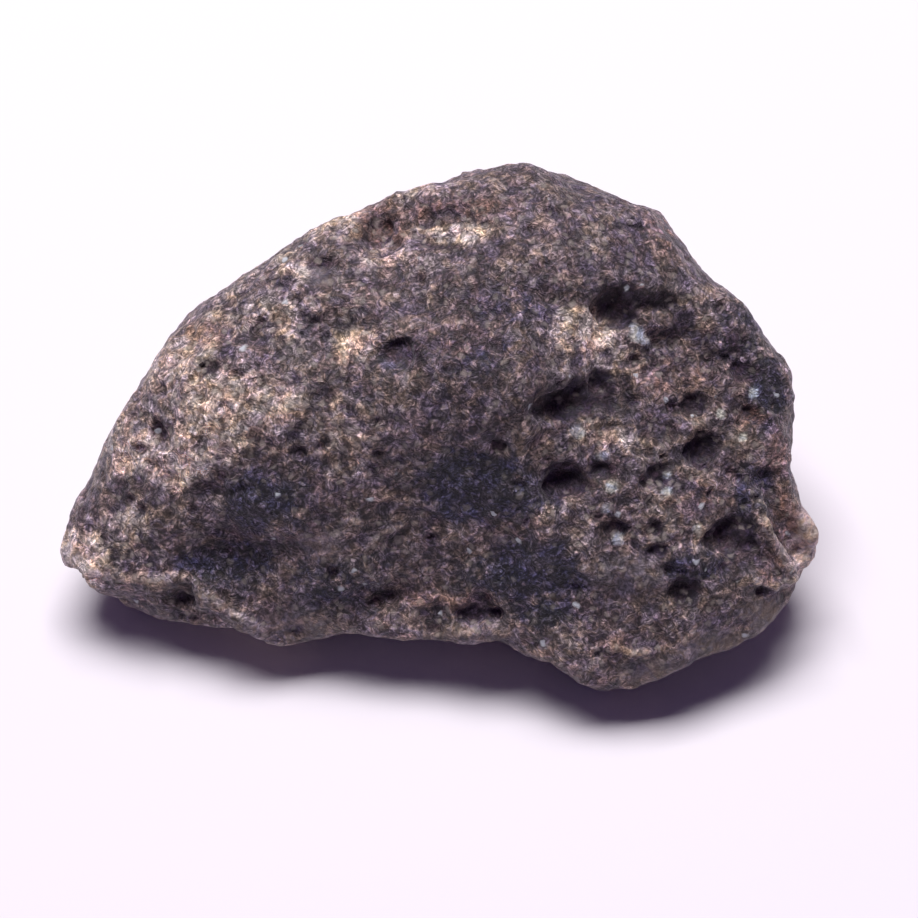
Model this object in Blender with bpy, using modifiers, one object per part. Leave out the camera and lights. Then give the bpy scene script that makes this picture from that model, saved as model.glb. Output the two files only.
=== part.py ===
"""Impact glass: one dark, vesicular stone of melted sandstone, resting on a flat broken underside.

Blender 4.5, metres, +Z up. The stone is shaped lying on its back, with its broad face up: X runs along
its length, Y across the face and Z out of it. It is then leant back by FACE_LEAN and cut off flat where it
rests, and its origin goes to the middle of its base.
"""

import math
import random

import bmesh
import bpy
import numpy as np
from mathutils import Matrix, Vector, noise

MM = 0.001

# Driving dimensions, in millimetres and degrees.
FACE_THICKNESS = 8.6  # from the outline's plane out to the crown of the face
BACK_THICKNESS = 10.4  # from the outline's plane down to the deepest point of the back
FACE_FULLNESS = 0.80  # under 1 swells the shoulders of the face, 1 is an ellipsoid
BACK_FULLNESS = 0.86
FACE_LEAN = 30.0  # the broad face leans back this far from level
REST_HEIGHT = 9.3  # from the outline's centre down to the surface that the stone rests on

# Corners of the broad face's outline, clockwise from the left tip, in millimetres from its centre.
OUTLINE = (
    (-21.3, -7.2),
    (-21.1, -5.8),
    (-20.8, -4.9),
    (-19.8, -3.2),
    (-18.6, -0.5),
    (-17.0, 1.8),
    (-14.7, 5.2),
    (-13.9, 6.3),
    (-9.5, 9.2),
    (-6.7, 11.0),
    (-4.5, 11.7),
    (-3.7, 12.3),
    (-0.4, 13.2),
    (1.0, 13.8),
    (4.6, 14.4),
    (6.4, 13.9),
    (11.9, 11.9),
    (12.7, 10.9),
    (14.6, 8.3),
    (16.5, 7.0),
    (18.0, 4.7),
    (19.1, 3.3),
    (19.5, 0.6),
    (19.2, -2.0),
    (19.9, -4.5),
    (20.65, -5.3),
    (20.75, -6.4),
    (20.45, -7.3),
    (19.8, -8.2),
    (19.4, -9.4),
    (17.8, -11.3),
    (15.9, -12.5),
    (13.3, -13.4),
    (10.7, -14.6),
    (8.0, -14.5),
    (6.8, -13.3),
    (3.9, -12.4),
    (3.5, -11.7),
    (1.8, -12.0),
    (-5.2, -11.3),
    (-8.6, -12.8),
    (-11.0, -11.7),
    (-14.9, -11.5),
    (-17.3, -9.5),
    (-19.2, -9.5),
    (-20.9, -8.3),
)

# Where the outline's plane is bent: centre x, y, how far the bend reaches, and its rise.
BENDS = (
    (-21.0, -4.0, 12.0, -2.0),  # the left end droops
    (0.0, -14.0, 9.0, 0.8),  # the lower edge curls up
    (14.8, -12.6, 5.0, 2.7),  # and more so at its right corner
    (19.8, -9.2, 3.2, -2.2),  # the horn droops
)

# The outline's corners are blurred over this many degrees at the rim, and over more further in.
FINE_BLUR = 0.8
BROAD_BLUR = 14.0

# Old fracture planes: a point on each, and its outward normal. The first two meet in the ridge that runs
# across the face, the next seven slope the rest of it towards its edges, and the others blunt the back.
FRACTURES = (
    ((-2.0, -4.0, 6.4), (-0.03, -0.36, 0.93)),
    ((-6.0, 6.0, 5.6), (-0.20, 0.34, 0.92)),
    ((14.0, 4.0, 4.6), (0.42, 0.16, 0.89)),
    ((11.5, -9.0, 5.2), (0.14, -0.50, 0.85)),
    ((0.0, -11.0, 1.8), (-0.14, -0.50, 0.85)),
    ((-14.4, -8.4, 1.5), (-0.11, -0.44, 0.89)),
    ((17.6, -8.4, 2.6), (0.45, -0.20, 0.87)),
    ((15.9, -11.6, 3.7), (0.47, -0.74, 0.48)),
    ((-15.5, -3.0, 3.0), (-0.52, -0.10, 0.85)),
    ((-4.0, -13.0, -0.8), (-0.11, -0.80, -0.59)),
    ((17.9, -12.9, -0.8), (0.45, -0.68, -0.58)),
    ((3.0, 12.0, -4.2), (0.05, 0.74, -0.67)),
    ((14.0, 8.5, -4.6), (0.62, 0.35, -0.70)),
    ((-12.0, 5.0, -4.4), (-0.56, 0.42, -0.71)),
    ((-14.0, -3.0, -6.4), (-0.46, -0.10, -0.88)),
    ((14.0, -2.0, -6.2), (0.50, 0.05, -0.86)),
    ((2.0, 4.0, -9.2), (0.10, 0.25, -0.96)),
)
FRACTURE_SOFTNESS = 0.55

# Broad rises and hollows of the face: centre x, y, half-width, half-height, rise, and how abruptly it starts.
SWELLS = (
    (11.3, -0.6, 6.9, 6.4, -0.9, 3.0),  # the broken, bubbly hollow at the right
    (12.0, 0.6, 4.2, 4.6, -0.5, 1.0),  # its deeper middle
    (-11.5, -7.2, 3.4, 1.7, -0.8, 1.5),  # the dark hollow above the left ledge
    (-1.0, 10.8, 3.4, 1.3, -0.7, 1.5),  # the rusty hollow under the top edge
    (0.5, 3.0, 4.5, 2.5, 0.5, 1.0),  # the blunt shoulder left of the broken hollow
    (-20.2, -7.0, 1.6, 1.8, 0.6, 1.0),  # the knob of the left tip
    (20.4, -6.4, 1.0, 1.6, 0.6, 1.0),  # the horn at the right end
    (8.9, -12.0, 4.2, 1.6, 0.2, 1.0),  # the bulge over the lower right edge
    (-3.2, -9.0, 2.2, 1.0, -0.5, 1.5),  # the hollow above the middle of the lower edge
)

# Narrow ridges and troughs of the face: the bends of the line, its half-width and its rise.
RIDGES = (
    (((-19.0, -7.8), (-17.2, -8.2), (-14.6, -8.4), (-12.4, -9.6), (-10.0, -11.0)), 0.55, 0.45),  # left ledge
    (((-5.4, -10.8), (-2.0, -11.2), (3.4, -11.3)), 0.50, 0.40),  # lip of the lower edge
    (((18.1, -3.0), (18.5, -4.4), (18.9, -5.7), (19.5, -7.0)), 0.75, -1.15),  # shell-shaped scar of the horn
    (((17.0, -3.5), (17.2, -4.8), (17.7, -5.8), (18.3, -6.9), (19.0, -7.9)), 0.34, 0.55),  # its inner rim
    (((17.0, -8.1), (18.2, -8.5), (19.2, -8.2)), 0.32, 0.40),  # its lower rim
    (((4.4, 5.8), (4.0, 2.4), (4.6, -2.6), (6.4, -6.6), (10.2, -8.8)), 0.90, 0.35),  # rim of the hollow
    (((-2.4, -5.4), (-3.3, -6.4), (-4.3, -8.4)), 0.30, 0.30),  # a seam in the dark glass
)

# Burst gas bubbles on the face: centre x, y, half-width, half-height, depth.
VESICLES = (
    # the deep ones of the broken hollow, each with the shallower bubbles that run into it
    (6.4, 1.1, 1.65, 0.90, 1.45), (8.5, 2.2, 0.85, 0.60, 0.70), (7.3, 0.6, 0.70, 0.50, 0.50),
    (6.4, -3.1, 1.25, 0.80, 1.25), (8.4, -2.4, 1.10, 0.55, 0.55), (5.6, -2.6, 0.50, 0.40, 0.40),
    (9.2, 6.2, 1.20, 0.95, 1.25), (8.6, 5.5, 0.65, 0.55, 0.60), (11.7, 6.3, 1.35, 0.55, 0.60),
    (12.3, 4.7, 0.90, 0.55, 0.60), (14.0, -1.5, 1.05, 0.78, 1.15), (14.9, -1.0, 0.50, 0.40, 0.40),
    (15.3, -6.0, 0.82, 0.90, 1.35), (16.0, -5.2, 0.50, 0.50, 0.50), (17.0, -7.3, 1.10, 0.50, 0.50),
    # smaller ones around them
    (13.5, 0.9, 0.72, 0.52, 0.70), (13.6, 1.8, 0.75, 0.40, 0.40), (15.8, -2.7, 0.75, 0.55, 0.60),
    (16.4, 0.5, 0.60, 0.50, 0.60), (15.6, 3.8, 0.95, 0.52, 0.70), (16.4, 2.9, 0.85, 0.45, 0.45),
    (9.2, -5.7, 0.72, 0.52, 0.70), (11.4, -5.6, 0.48, 0.40, 0.50), (11.5, -2.9, 0.75, 0.60, 0.55),
    (12.7, -2.2, 0.50, 0.36, 0.36), (10.0, 1.0, 0.40, 0.36, 0.40), (10.8, -0.5, 0.95, 0.32, 0.36),
    (12.8, -9.1, 0.62, 0.65, 0.80), (14.2, -8.3, 0.85, 0.42, 0.45), (17.7, -8.9, 0.52, 0.46, 0.65),
    (11.4, -6.8, 0.70, 0.40, 0.45), (5.5, 8.4, 0.85, 0.36, 0.45), (5.7, 6.8, 1.35, 0.60, 0.50),
    (5.6, 0.0, 0.36, 0.40, 0.45), (13.9, 4.0, 0.55, 0.42, 0.45), (10.3, 3.4, 0.60, 0.40, 0.40),
    # the row along the lower edge
    (2.1, -10.2, 1.35, 0.68, 1.00), (-0.4, -10.3, 0.80, 0.50, 0.60), (-2.8, -9.2, 0.80, 0.60, 0.60),
    (-0.9, -7.3, 0.42, 0.30, 0.45), (3.2, -1.3, 0.45, 0.38, 0.50), (4.4, -10.3, 0.60, 0.36, 0.36),
    # the left end
    (-15.4, -0.4, 0.62, 0.85, 1.00), (-14.2, -9.4, 0.78, 0.82, 1.00), (-13.0, -10.4, 0.42, 0.36, 0.50),
    (-12.2, -3.5, 1.00, 0.50, 0.60), (-12.5, 3.0, 0.42, 0.36, 0.45), (-11.9, 5.0, 0.40, 0.36, 0.45),
    (-12.8, 4.6, 0.34, 0.30, 0.36), (-13.9, 3.8, 0.50, 0.36, 0.40), (-9.8, 7.5, 0.36, 0.32, 0.40),
    # shallow dishes whose bubble has worn away
    (-3.2, 10.4, 1.10, 1.50, 1.10), (-0.6, 9.8, 0.65, 0.36, 0.45), (6.1, 11.4, 0.50, 0.42, 0.45),
    (-2.3, 3.8, 1.00, 0.85, 0.70), (-0.2, 4.0, 0.45, 0.42, 0.45), (-10.0, 4.8, 1.00, 0.90, 0.45),
    (-13.1, 1.8, 0.75, 0.85, 0.50), (-6.4, 8.0, 1.15, 0.95, 0.50), (-8.4, 7.5, 0.70, 0.70, 0.40),
    (-6.2, 1.5, 0.60, 0.50, 0.30), (10.8, 10.6, 0.80, 0.75, 0.50),
)

# The skin around a bubble's mouth is worn down by this share of its depth, out to this many radii.
WORN_DEPTH = 0.14
WORN_REACH = 2.2
SAME_SIDE = 0.3  # skin that turns further from the mouth's own direction than this cosine stays put

# The back was broken off more roughly: it has chipped hollows, and burst bubbles anywhere between them.
BACK_CHIPS = 13
BACK_CHIP_RADII = (1.8, 3.8)
BACK_CHIP_DEPTHS = (0.24, 0.28)  # as shares of the chip's radius
BACK_CHIP_FACING = -0.45  # chips stay where the skin's normal has less than this Z, clear of the rim
BACK_VESICLES = 70
BACK_VESICLE_RADII = (0.40, 1.35)
BACK_VESICLE_DEPTHS = (0.7, 1.4)  # as shares of the bubble's radius
BACK_VESICLE_FACING = 0.0
SEED = 7

# Relief of the skin: size of the lumps, and how far they stand out on the face and on the back.
LUMPS = (
    (9.0, 0.75, 1.5),
    (3.2, 0.34, 0.7),
    (1.4, 0.20, 0.2),
)

SPHERE_SUBDIVISIONS = 7
REMESH_VOXEL = 0.24
TRIANGLES = 10400  # before the underside is cut off
SHARP_EDGE = 50.0

GLASS_COLOUR = (0.085, 0.078, 0.080, 1.0)


def clear_scene():
    for obj in list(bpy.data.objects):
        bpy.data.objects.remove(obj)


def points_of(mesh):
    values = np.empty(len(mesh.vertices) * 3)
    mesh.vertices.foreach_get("co", values)
    return values.reshape(-1, 3)


def normals_of(mesh):
    values = np.empty(len(mesh.vertices) * 3)
    mesh.vertex_normals.foreach_get("vector", values)
    return values.reshape(-1, 3)


def move_points(mesh, points):
    mesh.vertices.foreach_set("co", points.ravel())
    mesh.update()


def outline_radius(angles, blur):
    """Distance from the centre to the outline at these angles, with its bends blurred over some degrees."""
    corners = np.array(OUTLINE)
    steps = np.linspace(0, 1, 12, endpoint=False)[:, None]
    edges = [start + (end - start) * steps for start, end in zip(corners, np.roll(corners, -1, axis=0))]
    walk = np.concatenate(edges)
    whole_turn = np.radians(np.arange(-180.0, 180.0, 0.5))
    radius = np.interp(whole_turn, np.arctan2(walk[:, 1], walk[:, 0]), np.hypot(*walk.T), period=2 * math.pi)
    reach = 240
    offsets = np.arange(-reach, reach + 1) * 0.5
    weights = np.exp(-0.5 * (offsets / blur) ** 2)
    around = np.concatenate([radius[-reach:], radius, radius[:reach]])
    blurred = np.convolve(around, weights / weights.sum(), mode="valid")
    return np.interp(angles, whole_turn, blurred, period=2 * math.pi)


def pillow(directions):
    """Swells a sphere's directions out to the outline, with a face and a back of their own fullness."""
    angles = np.arctan2(directions[:, 1], directions[:, 0])
    reach = np.hypot(directions[:, 0], directions[:, 1])
    height = directions[:, 2]
    facing = height > 0
    fullness = np.where(facing, FACE_FULLNESS, BACK_FULLNESS)
    thickness = np.where(facing, FACE_THICKNESS, BACK_THICKNESS)
    # The small bends of the outline fade out a little way in from the rim.
    broad = outline_radius(angles, BROAD_BLUR)
    fine = outline_radius(angles, FINE_BLUR)
    radius = broad + (fine - broad) * reach**10
    spread = radius * reach**fullness
    points = np.empty_like(directions)
    points[:, 0] = spread * np.cos(angles)
    points[:, 1] = spread * np.sin(angles)
    points[:, 2] = np.sign(height) * thickness * np.abs(height) ** fullness
    for x, y, reach_of_bend, rise in BENDS:
        away = np.hypot(points[:, 0] - x, points[:, 1] - y) / reach_of_bend
        points[:, 2] += rise * np.exp(-(away**2))
    return points


def blunt(points):
    """Presses every point that stands outside a fracture plane softly back onto it."""
    for through, outward in FRACTURES:
        normal = np.array(Vector(outward).normalized())
        outside = (points - np.array(through)) @ normal
        pressed = -FRACTURE_SOFTNESS * np.logaddexp(0, -outside / FRACTURE_SOFTNESS)
        points = points + np.outer(pressed - outside, normal)
    return points


def facing_weight(normals, side):
    """1 on the face (side 1) or the back (side -1), fading to 0 at the rim so that the outline stays put."""
    return np.clip(side * normals[:, 2] * 2.2, 0, 1) ** 1.5


def roll_swells(points, normals):
    on_face = facing_weight(normals, 1)
    rise = np.zeros(len(points))
    for x, y, half_width, half_height, height, abruptness in SWELLS:
        distance = ((points[:, 0] - x) / half_width) ** 2 + ((points[:, 1] - y) / half_height) ** 2
        rise += height * np.exp(-(distance**abruptness))
    return points + normals * (rise * on_face)[:, None]


def distance_to_line(points, bends):
    """How far each point is from the line through these bends, seen square on to the face."""
    nearest = np.full(len(points), np.inf)
    for start, end in zip(np.array(bends[:-1]), np.array(bends[1:])):
        run = end - start
        offset = points[:, :2] - start
        along = np.clip(offset @ run / (run @ run), 0, 1)
        nearest = np.minimum(nearest, np.linalg.norm(offset - along[:, None] * run, axis=1))
    return nearest


def raise_ridges(points, normals):
    on_face = np.clip(4 * normals[:, 2], 0, 1)
    rise = np.zeros(len(points))
    for bends, half_width, height in RIDGES:
        rise += height * np.exp(-((distance_to_line(points, bends) / half_width) ** 2))
    return points + normals * (rise * on_face)[:, None]


def lump_noise(points, size):
    return np.array([noise.fractal(Vector(p) / size, 1.0, 2.0, 2) for p in points])


def raise_lumps(points, normals):
    """Rock relief: the broad lumps leave the rim alone, and the finest ones roughen the rim too."""
    on_face = facing_weight(normals, 1)
    on_back = facing_weight(normals, -1)
    for size, face_height, back_height in LUMPS:
        height = face_height * on_face + back_height * on_back
        if size < 2.0:
            height = np.maximum(height, face_height)
        points = points + normals * (height * lump_noise(points, size))[:, None]
    return points


def sink_bubble(points, normals, centre, half_width, half_height, depth, turn):
    """Maps a round patch of skin onto the inside of a bubble, and wears the skin down around its mouth."""
    near = np.linalg.norm(points - centre, axis=1)
    widest = max(half_width, half_height)
    normal = normals[near < widest].mean(axis=0)
    normal /= np.linalg.norm(normal)
    along = np.array([1.0, 0.0, 0.0]) - normal * normal[0]
    along /= np.linalg.norm(along)
    across = np.cross(normal, along)
    around = np.flatnonzero((near < WORN_REACH * widest) & (normals @ normal > SAME_SIDE))
    offset = points[around] - centre
    x, y, z = offset @ along, offset @ across, offset @ normal
    angle = np.arctan2(y / half_height, x / half_width)
    wobble = 1 + 0.15 * np.sin(2 * angle + turn) + 0.12 * np.sin(3 * angle - 2 * turn)
    share = np.hypot(x / half_width, y / half_height) / wobble
    points[around] -= np.outer(WORN_DEPTH * depth * np.exp(-(share**2)), normal)
    inside = share < 1
    share, angle, wobble, z = share[inside], angle[inside], wobble[inside], z[inside]
    worn = WORN_DEPTH * depth * np.exp(-(share**2))
    widest_angle = 2 * math.atan(depth / math.sqrt(half_width * half_height))
    polar = share * widest_angle
    out = wobble * np.sin(polar) / math.sin(widest_angle)
    down = depth * (np.cos(polar) - math.cos(widest_angle)) / (1 - math.cos(widest_angle))
    points[around[inside]] = (
        centre
        + np.outer(half_width * out * np.cos(angle), along)
        + np.outer(half_height * out * np.sin(angle), across)
        + np.outer(z * share**2 - down - worn, normal)
    )


def sink_face_vesicles(points, normals):
    """Sinks the listed bubbles, each where its x and y meet the face."""
    for number, (x, y, half_width, half_height, depth) in enumerate(VESICLES):
        miss = np.hypot(points[:, 0] - x, points[:, 1] - y) + 100.0 * (normals[:, 2] < 0.15)
        centre = points[np.argmin(miss)].copy()
        sink_bubble(points, normals, centre, half_width, half_height, depth, turn=1.7 * number)


def break_back(points, normals):
    """Scatters chips and then bubbles over the back, the big ones first, each clear of others of its kind."""
    rng = random.Random(SEED)
    kinds = (
        (BACK_CHIPS, BACK_CHIP_RADII, BACK_CHIP_DEPTHS, BACK_CHIP_FACING),
        (BACK_VESICLES, BACK_VESICLE_RADII, BACK_VESICLE_DEPTHS, BACK_VESICLE_FACING),
    )
    for count, (smallest, largest), depths, facing in kinds:
        candidates = np.flatnonzero(normals[:, 2] < facing)
        radii = [smallest + (largest - smallest) * rng.random() ** 2 for _ in range(count)]
        placed = []
        for radius in sorted(radii, reverse=True):
            centre = points[candidates[rng.randrange(len(candidates))]].copy()
            if any(np.linalg.norm(centre - other) < 0.8 * (radius + taken) for other, taken in placed):
                continue
            placed.append((centre, radius))
            narrow = radius * rng.uniform(0.7, 1.0)
            depth = radius * rng.uniform(*depths)
            sink_bubble(points, normals, centre, radius, narrow, depth, turn=rng.uniform(0, 6))


def shaped_stone():
    """The whole stone in millimetres, broad face up, as a fine mesh."""
    bpy.ops.mesh.primitive_ico_sphere_add(subdivisions=SPHERE_SUBDIVISIONS, radius=1.0)
    stone = bpy.context.object
    stone.name = "impact_glass"
    mesh = stone.data
    mesh.name = "impact_glass"
    move_points(mesh, blunt(pillow(points_of(mesh))))
    move_points(mesh, roll_swells(points_of(mesh), normals_of(mesh)))
    move_points(mesh, raise_ridges(points_of(mesh), normals_of(mesh)))
    move_points(mesh, raise_lumps(points_of(mesh), normals_of(mesh)))
    points = points_of(mesh)
    break_back(points, normals_of(mesh))
    sink_face_vesicles(points, normals_of(mesh))
    move_points(mesh, points)
    return stone


def evaluated_copy(stone):
    """The stone's mesh with its modifiers applied, put in its place."""
    graph = bpy.context.evaluated_depsgraph_get()
    mesh = bpy.data.meshes.new_from_object(stone.evaluated_get(graph))
    mesh.name = "impact_glass"
    stone.modifiers.clear()
    stone.data = mesh
    return mesh


def keep_main_body(mesh):
    """Drops pinched-off bubbles inside the stone and crumbs outside it."""
    form = bmesh.new()
    form.from_mesh(mesh)
    unseen = set(form.verts)
    bodies = []
    while unseen:
        body = {unseen.pop()}
        frontier = list(body)
        while frontier:
            vertex = frontier.pop()
            beside = {edge.other_vert(vertex) for edge in vertex.link_edges} - body
            body |= beside
            frontier.extend(beside)
        unseen -= body
        bodies.append(body)
    bodies.sort(key=len)
    for body in bodies[:-1]:
        bmesh.ops.delete(form, geom=list(body), context="VERTS")
    form.to_mesh(mesh)
    form.free()


def thin_out(stone):
    """Evens the skin out, then spends the triangles where it bends."""
    remesh = stone.modifiers.new("Even skin", "REMESH")
    remesh.mode = "VOXEL"
    remesh.voxel_size = REMESH_VOXEL
    mesh = evaluated_copy(stone)
    keep_main_body(mesh)
    decimate = stone.modifiers.new("Fewer triangles", "DECIMATE")
    decimate.ratio = TRIANGLES / (2 * len(mesh.polygons))
    decimate.use_collapse_triangulate = True
    evaluated_copy(stone)


def lean_and_rest(stone):
    """Leans the face back, cuts the underside off flat and puts the origin in the middle of the base."""
    lean = Matrix.Rotation(math.radians(FACE_LEAN), 4, "X")
    stone.data.transform(Matrix.Scale(MM, 4) @ Matrix.Translation((0, 0, REST_HEIGHT)) @ lean)
    room = 100 * MM
    bpy.ops.mesh.primitive_cube_add(size=room, location=(0, 0, -room / 2))
    ground = bpy.context.object
    cut = stone.modifiers.new("Flat underside", "BOOLEAN")
    cut.operation = "DIFFERENCE"
    cut.solver = "EXACT"
    cut.object = ground
    mesh = evaluated_copy(stone)
    bpy.data.objects.remove(ground)
    keep_main_body(mesh)
    corners = points_of(mesh)
    middle = (corners.min(axis=0) + corners.max(axis=0)) / 2
    mesh.transform(Matrix.Translation((-middle[0], -middle[1], -corners[:, 2].min())))
    stone.modifiers.new("Triangles", "TRIANGULATE")
    mesh = evaluated_copy(stone)
    mesh.shade_smooth()
    mesh.set_sharp_from_angle(angle=math.radians(SHARP_EDGE))


def glass_material():
    material = bpy.data.materials.new("dark impact glass")
    material.use_nodes = True
    shader = material.node_tree.nodes["Principled BSDF"]
    shader.inputs["Base Color"].default_value = GLASS_COLOUR
    shader.inputs["Roughness"].default_value = 0.62
    shader.inputs["Metallic"].default_value = 0.0
    return material


def main():
    clear_scene()
    stone = shaped_stone()
    thin_out(stone)
    lean_and_rest(stone)
    stone.data.materials.clear()
    stone.data.materials.append(glass_material())
    collection = bpy.data.collections.new("impact glass")
    bpy.context.scene.collection.children.link(collection)
    for owner in list(stone.users_collection):
        owner.objects.unlink(stone)
    collection.objects.link(stone)


main()
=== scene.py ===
# %% [markdown]
# # A stone of impact glass
# When a meteorite strikes sandy ground, the ground melts, splashes out and freezes into glass full of sand
# and gas. This stone is one such lump: dark glass under a sandy skin, with burst gas bubbles, a tan crust
# in patches and one end broken open. This lesson dresses its plain solid with a fine skin and a material.

import math

import bmesh
import bpy
import numpy as np
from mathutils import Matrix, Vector, noise


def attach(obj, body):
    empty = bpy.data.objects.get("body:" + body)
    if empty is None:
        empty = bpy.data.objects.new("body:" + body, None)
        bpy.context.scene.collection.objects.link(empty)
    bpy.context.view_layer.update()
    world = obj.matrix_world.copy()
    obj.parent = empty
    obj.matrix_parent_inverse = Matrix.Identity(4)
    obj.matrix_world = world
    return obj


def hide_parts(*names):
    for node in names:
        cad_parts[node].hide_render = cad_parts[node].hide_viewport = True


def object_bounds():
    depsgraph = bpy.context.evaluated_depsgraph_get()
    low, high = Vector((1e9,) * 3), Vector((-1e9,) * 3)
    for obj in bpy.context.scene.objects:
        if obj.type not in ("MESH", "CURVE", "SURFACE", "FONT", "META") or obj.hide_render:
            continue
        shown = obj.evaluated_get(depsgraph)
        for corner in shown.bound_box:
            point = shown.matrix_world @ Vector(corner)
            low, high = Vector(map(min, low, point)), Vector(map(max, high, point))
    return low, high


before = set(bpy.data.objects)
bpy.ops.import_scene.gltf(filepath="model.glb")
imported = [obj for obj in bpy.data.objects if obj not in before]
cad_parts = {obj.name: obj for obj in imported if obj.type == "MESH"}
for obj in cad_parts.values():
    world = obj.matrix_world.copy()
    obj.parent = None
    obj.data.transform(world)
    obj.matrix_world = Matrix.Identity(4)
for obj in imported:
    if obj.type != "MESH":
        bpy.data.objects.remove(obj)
cad_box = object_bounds()
MM = 0.001
print("solid's box, mm:", [[round(value / MM, 2) for value in corner] for corner in cad_box])

# %% [markdown]
# ## A frame of its own for the face
# The stone leans back on its flat underside, so world axes are awkward for saying where a hollow or a patch
# of crust lies. A second set of axes lies on the broad face: x along the stone, y up the face, z out of it,
# in millimetres from the middle. Every patch below is placed with them, the way one would point at a map.

# %% Face axes
FACE_CENTRE = np.array([0.225, -0.591, 9.300])  # in millimetres, from the origin under the stone
FACE_LEAN = math.radians(30.0)
FACE_AXES = np.array([
    [1.0, 0.0, 0.0],
    [0.0, math.cos(FACE_LEAN), math.sin(FACE_LEAN)],
    [0.0, -math.sin(FACE_LEAN), math.cos(FACE_LEAN)],
])


def face_to_world(x, y, z):
    """A point given on the face, in millimetres, as a point of the scene in metres."""
    return Vector((FACE_CENTRE + np.array([x, y, z]) @ FACE_AXES) * MM)


print("middle of the face:", [round(value, 4) for value in face_to_world(0, 0, 0)])

# %% [markdown]
# ## A fine, even skin
# The solid has few triangles, and its facets would show. Subdividing rounds them off, and a voxel remesh
# then lays an even grid of small quads over everything, pits included, so that later steps can push single
# points about. A sculptor would do the same before adding skin detail. The voxel is as small as the budget
# allows.

# %% Copy the solid and refine it
VOXEL = 0.198 * MM
WELD = 0.002 * MM


def refined_copy(node, name):
    """A welded, subdivided and evenly remeshed copy of a solid, as a new object."""
    form = bmesh.new()
    form.from_mesh(node.data)
    bmesh.ops.remove_doubles(form, verts=form.verts, dist=WELD)
    mesh = bpy.data.meshes.new(name)
    form.to_mesh(mesh)
    form.free()
    piece = bpy.data.objects.new(name, mesh)
    bpy.context.scene.collection.objects.link(piece)
    rounding = piece.modifiers.new("Round the facets", "SUBSURF")
    rounding.levels = 2
    rounding.render_levels = 2
    even = piece.modifiers.new("Even grid", "REMESH")
    even.mode = "VOXEL"
    even.voxel_size = VOXEL
    graph = bpy.context.evaluated_depsgraph_get()
    piece.data = bpy.data.meshes.new_from_object(piece.evaluated_get(graph))
    piece.data.name = name
    piece.modifiers.clear()
    return piece


stone = refined_copy(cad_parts["impact_glass"], "impact_glass_stone")
print("skin:", len(stone.data.vertices), "points,", 2 * len(stone.data.polygons), "triangles")

# %% [markdown]
# ## Working on all the points at once
# Python loops over a hundred thousand points are slow, so positions and normals are read into numpy arrays,
# changed there in one go and put back.

# %% Read and place points
def read(mesh, collection, field):
    values = np.empty(len(getattr(mesh, collection)) * 3)
    getattr(mesh, collection).foreach_get(field, values)
    return values.reshape(-1, 3)


def place(mesh, points):
    mesh.vertices.foreach_set("co", points.ravel())
    mesh.update()


points = read(stone.data, "vertices", "co")
print("widest reach of the skin, mm:", (points.max(axis=0) - points.min(axis=0)) / MM)

# %% [markdown]
# ## Blurring over the skin
# Later steps ask how far a point lies under a smoother stone. Averaging each point with its neighbours,
# again and again, gives that smoother stone. The Smooth modifier could blur the shape as well, but these
# few lines keep both versions at hand as arrays, so that one can be taken from the other.

# %% Average with the neighbours
def edges_of(mesh):
    pairs = np.empty(len(mesh.edges) * 2, dtype=np.int64)
    mesh.edges.foreach_get("vertices", pairs)
    return pairs.reshape(-1, 2)


EDGES = edges_of(stone.data)


def blurred(values, rounds):
    """Averages each point's value with its neighbours', several times over."""
    count = len(values)
    ends = np.concatenate([EDGES[:, 0], EDGES[:, 1]])
    others = np.concatenate([EDGES[:, 1], EDGES[:, 0]])
    share = np.bincount(ends, minlength=count)
    columns = values.reshape(count, -1)
    for _ in range(rounds):
        sums = [np.bincount(ends, weights=column[others], minlength=count) for column in columns.T]
        columns = 0.5 * columns + 0.5 * np.stack(sums, axis=1) / share[:, None]
    return columns.reshape(values.shape)


print("edges:", len(EDGES))

# %% [markdown]
# ## Random fields and soft steps
# Nothing on a rock repeats or has a straight edge. Fractal noise, which adds up layers of smooth random
# waves, gives such unevenness at any size and is the same at every run. A soft step turns a noise value, or
# the distance from something, into a mask with a soft edge.

# %% Random values, and a ramp from 0 to 1
def random_field(points, size, octaves=2, shift=0.0):
    """A smooth random value near -1 to 1 at each point; size is its grain in millimetres."""
    offset = Vector((shift, 1.7 * shift, -shift))
    return np.array([noise.fractal(Vector(p) / size + offset, 1.0, 2.0, octaves) for p in points / MM])


def step(values, low, high):
    """0 below low, 1 above high, and a smooth ramp between."""
    t = np.clip((values - low) / (high - low), 0, 1)
    return t * t * (3 - 2 * t)


on_face = (points / MM - FACE_CENTRE) @ FACE_AXES.T
facing = step(read(stone.data, "vertex_normals", "vector") @ FACE_AXES[2], -0.15, 0.25)
print("share of the skin on the face's side:", round(float(facing.mean()), 2))

# %% [markdown]
# ## Patches with ragged edges
# On the real stone the skin changes from place to place, where the melt met sand, air or water. Painting
# the patches on a texture would do, but soft ovals given on the face stay plain numbers that are easy to
# move, and the same oval can steer both the relief and the colour. A random field frays the edge of each
# oval, and on the back, where no oval reaches, it sets the patches by itself.

# %% Turn a list of ovals into a mask
FRAY = 0.35
FRAY_SIZE = 1.8
OVAL_OUTSIDE, OVAL_INSIDE = 1.45, 0.45  # in radii of the oval
BEHIND_STRENGTH = 0.7
BEHIND_SIZE = 6.0
BEHIND_SEED = 40.0  # keeps the back's field apart from the fray
masks = {}


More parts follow.
